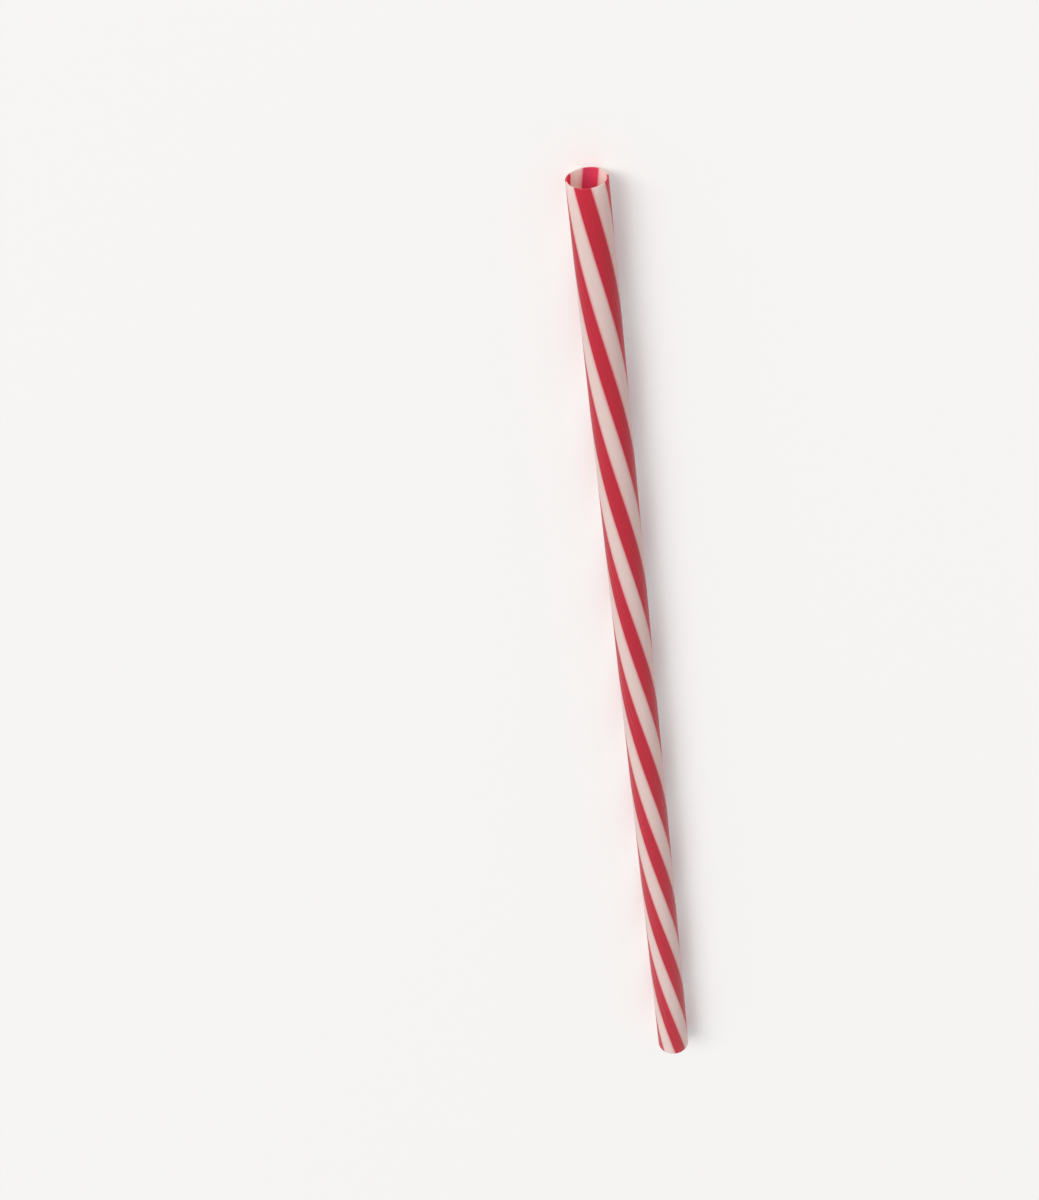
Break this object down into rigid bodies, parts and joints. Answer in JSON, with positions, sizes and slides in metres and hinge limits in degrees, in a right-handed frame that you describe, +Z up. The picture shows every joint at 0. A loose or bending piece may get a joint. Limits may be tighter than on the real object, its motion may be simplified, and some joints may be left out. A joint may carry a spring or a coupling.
{
  "type": "drinking straw",
  "caption": "Straight round drinking straw of thin plastic with helical red and white stripes and square-cut open ends, lying on its side.",
  "frame": {"origin": "middle of the line on which the straw lies, at half its length", "axes": "+X along the straw towards its mouth end, +Z up from the surface it lies on"},
  "size_m": [0.23, 0.007, 0.0069],
  "materials": {
    "straw": "smooth extruded polypropylene, red and natural white stripes through the wall"
  },
  "bodies": {
    "root": {"straw": "straw"}
  },
  "joints": []
}
